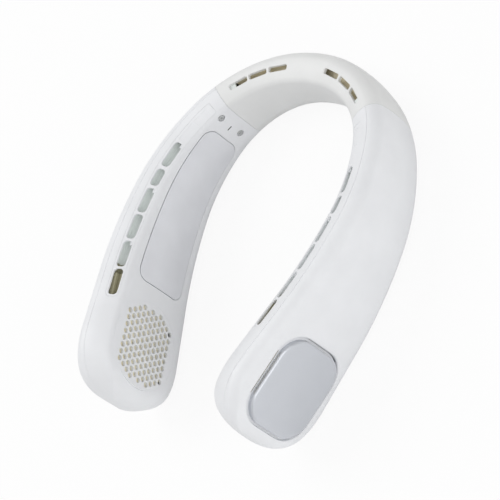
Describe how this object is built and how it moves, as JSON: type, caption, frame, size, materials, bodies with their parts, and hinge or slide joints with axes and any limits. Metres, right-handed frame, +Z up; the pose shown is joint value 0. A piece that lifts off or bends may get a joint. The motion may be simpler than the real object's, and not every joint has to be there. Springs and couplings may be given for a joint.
{
  "type": "electric neck fan",
  "caption": "Hands-free neck fan: a U-shaped plastic band with vented edges, cooling plates on the inner faces, and a spinning impeller behind a round grille in each arm's end.",
  "frame": {"origin": "Middle of the outline in plan, on the plane of the lower edge that the band lies on.", "axes": "+X towards the wearer's right arm of the band, across it, +Y towards the nape, the arms' free ends towards -Y, +Z up to the vented edge."},
  "size_m": [0.1696, 0.217, 0.0681],
  "materials": {
    "bridge_white": "satin",
    "shell_white": "satin",
    "duct_cream": "matte",
    "cable_black": "matte",
    "frame_grey": "matte",
    "plain_steel": "satin",
    "light_clear": "gloss",
    "plate_silver": "satin",
    "ceramic_white": "matte",
    "sink_aluminium": "plain",
    "cell_wrap": "gloss",
    "board_green": "satin",
    "cap_silver": "satin",
    "button_silver": "satin",
    "switch_black": "matte",
    "filter_cream": "woven",
    "housing_olive": "matte",
    "winding_copper": "plain",
    "bearing_bronze": "plain",
    "impeller_grey": "matte"
  },
  "bodies": {
    "frame": {"neck_bridge": "bridge_white", "bridge_duct": "duct_cream", "bridge_wire": "cable_black", "left_inner_shell": "shell_white", "left_outer_shell": "shell_white", "right_inner_shell": "shell_white", "right_outer_shell": "shell_white", "left_vent_strip": "shell_white", "right_vent_strip": "shell_white", "left_joint_frame": "frame_grey", "right_joint_frame": "frame_grey", "left_joint_screws": "plain_steel", "right_joint_screws": "plain_steel", "left_light_guide": "light_clear", "right_light_guide": "light_clear", "left_cooling_plate": "plate_silver", "right_cooling_plate": "plate_silver", "left_cooler_module": "ceramic_white", "right_cooler_module": "ceramic_white", "left_heat_sink": "sink_aluminium", "right_heat_sink": "sink_aluminium", "left_air_duct": "frame_grey", "right_air_duct": "frame_grey", "left_battery_cells": "cell_wrap", "right_battery_cells": "cell_wrap", "main_board": "board_green", "driver_board": "board_green", "button_switch": "switch_black", "charging_socket": "plain_steel", "left_intake_grille": "shell_white", "right_intake_grille": "shell_white", "left_dust_filter": "filter_cream", "right_dust_filter": "filter_cream", "left_inlet_ring": "housing_olive", "right_inlet_ring": "housing_olive", "left_fan_housing": "housing_olive", "right_fan_housing": "housing_olive", "left_fan_stator": "winding_copper", "right_fan_stator": "winding_copper", "left_fan_bearing": "bearing_bronze", "right_fan_bearing": "bearing_bronze", "left_well_tray": "shell_white", "right_well_tray": "shell_white", "left_well_felt": "filter_cream", "right_well_felt": "filter_cream", "left_outer_cap": "cap_silver", "right_outer_cap": "cap_silver"},
    "left_fan": {"left_impeller": "impeller_grey", "left_fan_shaft": "plain_steel"},
    "right_fan": {"right_impeller": "impeller_grey", "right_fan_shaft": "plain_steel"},
    "button": {"power_button": "button_silver"}
  },
  "joints": [
    {"name": "left_impeller_spin", "type": "hinge", "parent": "frame", "child": "left_fan", "pos_m": [-0.05379, -0.0754, 0.03599], "axis": [-0.9659, -0.2578, 0.0234], "continuous": true},
    {"name": "right_impeller_spin", "type": "hinge", "parent": "frame", "child": "right_fan", "pos_m": [0.05379, -0.0754, 0.03599], "axis": [0.9659, -0.2578, 0.0234], "continuous": true},
    {"name": "power_button_press", "type": "slide", "parent": "frame", "child": "button", "axis": [0.9653, -0.2599, 0.0236], "range_m": [0, 0.0004], "stiffness_N_per_m": 2500, "springref_m": -0.0003}
  ]
}
